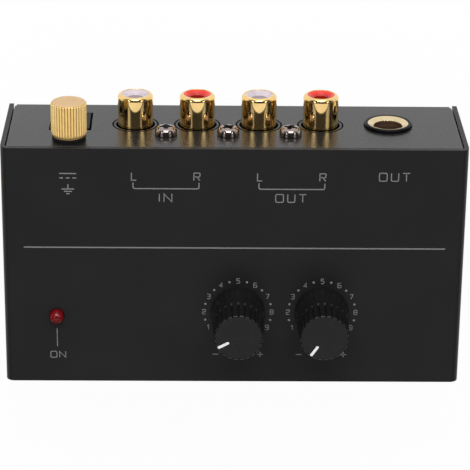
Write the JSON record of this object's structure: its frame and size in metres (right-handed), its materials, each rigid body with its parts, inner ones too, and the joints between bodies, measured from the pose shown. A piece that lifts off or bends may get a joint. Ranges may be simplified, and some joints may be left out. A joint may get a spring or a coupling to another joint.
{
  "type": "phono preamp",
  "caption": "Flat folded-metal audio box with two fluted turning knobs and a lamp on its labelled face, and phono sockets, a phone jack, a power socket and a ground screw on its rear panel.",
  "frame": {"origin": "bottom centre of the whole part: under its middle, in the plane of the feet's undersides", "axes": "+Z out of the labelled face, +Y out of the socket panel, +X to the right seen from the front with the labelled face up"},
  "size_m": [0.11, 0.0698, 0.0477],
  "materials": {
    "cover_paint": "fine satin black powder coat",
    "tray_paint": "fine satin black powder coat",
    "black_steel": "black oxide",
    "rubber": "matte",
    "board_green": "solder mask",
    "tin": "tin plate",
    "black_nickel": "black nickel plate",
    "black_moulding": "moulded nylon",
    "gold_plate": "polished gold plate",
    "pale_gold": "polished pale gold plate",
    "white_insert": "moulded",
    "red_insert": "moulded",
    "contact_brass": "plated spring brass",
    "capacitor_sleeve": "shrink sleeve",
    "thumb_brass": "satin turned brass",
    "washer_black": "moulded nylon",
    "lamp_red": "clear red resin",
    "rotor_brown": "phenolic",
    "knob_black": "satin moulded",
    "pointer_white": "inlaid",
    "film_yellow": "moulded box",
    "resistor_tan": "lacquered"
  },
  "bodies": {
    "chassis": {"top_cover": "cover_paint", "base_tray": "tray_paint", "cover_screws": "black_steel", "rubber_feet": "rubber", "circuit_board": "board_green", "board_standoffs": "tin", "dc_socket_pin": "tin", "dc_socket_spring": "tin", "ground_nut": "tin", "led_leads": "tin", "level_pot_bush": "tin", "volume_pot_bush": "tin", "board_screws": "black_nickel", "panel_screws": "black_nickel", "rca_housing": "black_moulding", "phone_jack_body": "black_moulding", "dc_socket_body": "black_moulding", "led_spacer": "black_moulding", "level_pot_case": "black_moulding", "volume_pot_case": "black_moulding", "opamp_left": "black_moulding", "opamp_right": "black_moulding", "voltage_regulator": "black_moulding", "rca_shell_1": "gold_plate", "rca_insert_1": "white_insert", "rca_contact_1": "contact_brass", "electrolytic_1": "capacitor_sleeve", "rca_shell_2": "gold_plate", "rca_insert_2": "red_insert", "rca_contact_2": "contact_brass", "electrolytic_2": "capacitor_sleeve", "rca_shell_3": "gold_plate", "rca_insert_3": "white_insert", "rca_contact_3": "contact_brass", "electrolytic_3": "capacitor_sleeve", "rca_shell_4": "gold_plate", "rca_insert_4": "red_insert", "rca_contact_4": "contact_brass", "electrolytic_4": "capacitor_sleeve", "phone_jack_bush": "pale_gold", "phone_jack_tip_spring": "contact_brass", "phone_jack_ring_spring": "contact_brass", "power_led": "lamp_red", "filter_capacitor": "capacitor_sleeve", "film_capacitor_1": "film_yellow", "film_capacitor_2": "film_yellow", "resistors": "resistor_tan"},
    "level_dial": {"level_shaft": "tin", "level_rotor": "rotor_brown", "level_knob": "knob_black", "level_pointer": "pointer_white"},
    "volume_dial": {"volume_shaft": "tin", "volume_rotor": "rotor_brown", "volume_knob": "knob_black", "volume_pointer": "pointer_white"},
    "ground_clamp": {"ground_washer": "washer_black"},
    "ground_thumbscrew": {"ground_screw": "thumb_brass"}
  },
  "joints": [
    {"name": "level_turn", "type": "hinge", "parent": "chassis", "child": "level_dial", "pos_m": [0.0011, -0.01625, 0.033], "axis": [0, 0, -1], "range_deg": [-32, 268]},
    {"name": "volume_turn", "type": "hinge", "parent": "chassis", "child": "volume_dial", "pos_m": [0.0213, -0.01625, 0.033], "axis": [0, 0, -1], "range_deg": [-5, 295]},
    {"name": "ground_travel", "type": "slide", "parent": "chassis", "child": "ground_clamp", "axis": [0, 1, 0], "range_m": [0, 0.0028]},
    {"name": "ground_turn", "type": "hinge", "parent": "ground_clamp", "child": "ground_thumbscrew", "pos_m": [-0.0391, 0.02555, 0.0265], "axis": [0, 1, 0], "range_deg": [0, 1440.1]}
  ],
  "couplings": [
    {"joint": "ground_turn", "follows": "ground_travel", "rad_per_m": 8976}
  ]
}
